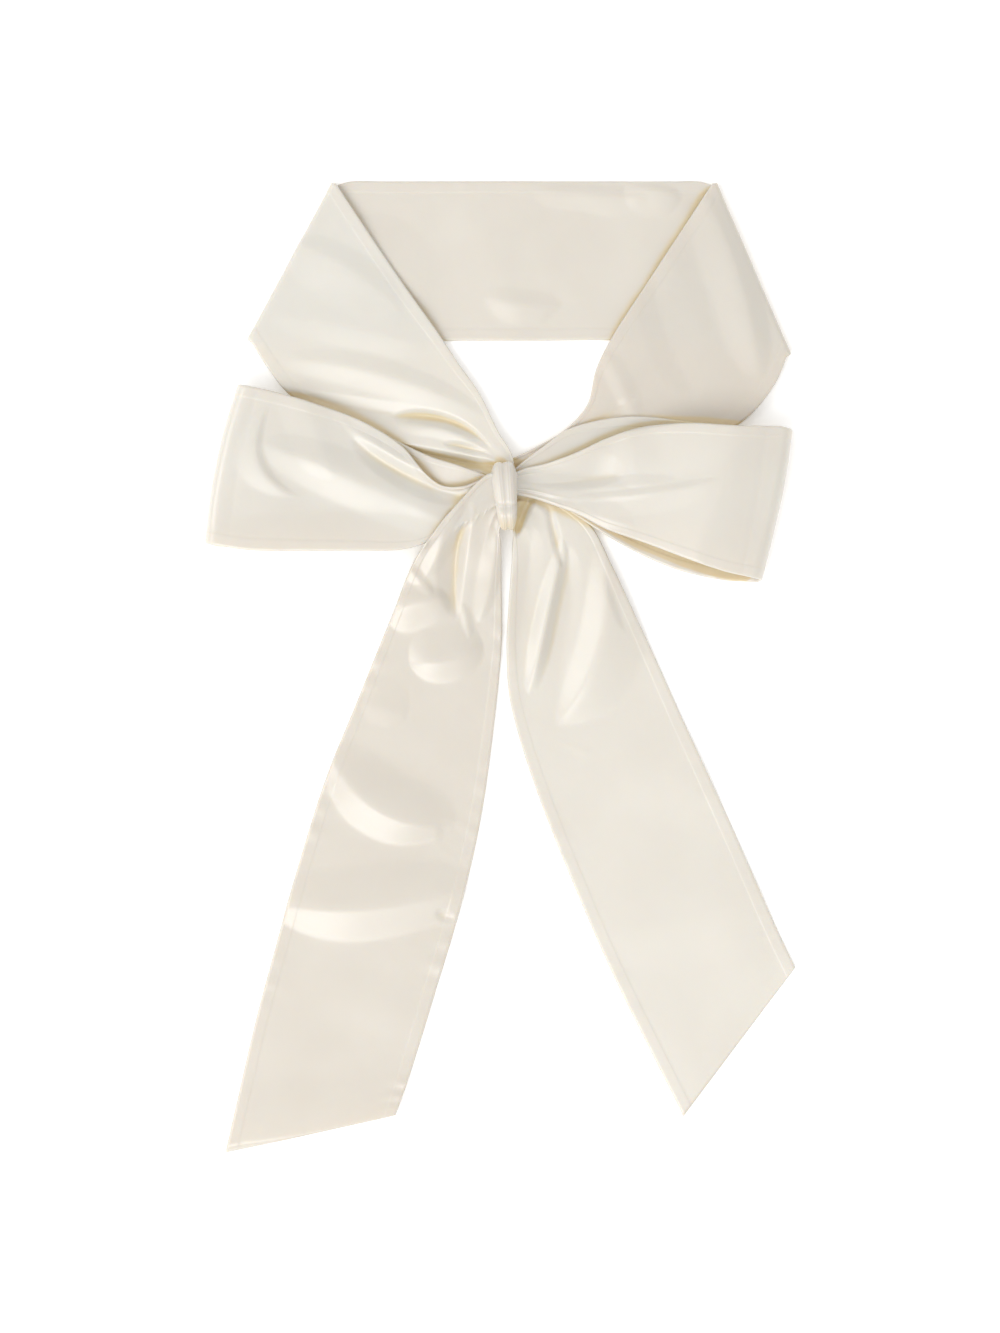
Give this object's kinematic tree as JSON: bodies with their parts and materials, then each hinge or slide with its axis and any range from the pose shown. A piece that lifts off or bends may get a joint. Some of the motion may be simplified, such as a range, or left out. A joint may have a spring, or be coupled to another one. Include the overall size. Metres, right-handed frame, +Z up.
{
  "type": "skinny scarf",
  "caption": "Long narrow ivory satin scarf laid flat and tied in a bow, with an open neck loop, hollow bow loops and slant-cut tails.",
  "frame": {"origin": "on the surface it lies on, under the middle of its outline seen from above", "axes": "+Z up out of the surface, +Y from the tails to the back of the neck band, +X to the right as seen from above with the neck band at the top"},
  "size_m": [0.2472, 0.4076, 0.0192],
  "materials": {
    "ivory_satin": "satin"
  },
  "bodies": {
    "root": {"neck_band": "ivory_satin", "knot": "ivory_satin", "bow_loop_left": "ivory_satin", "bow_loop_right": "ivory_satin", "tail_left": "ivory_satin", "tail_right": "ivory_satin"}
  },
  "joints": []
}
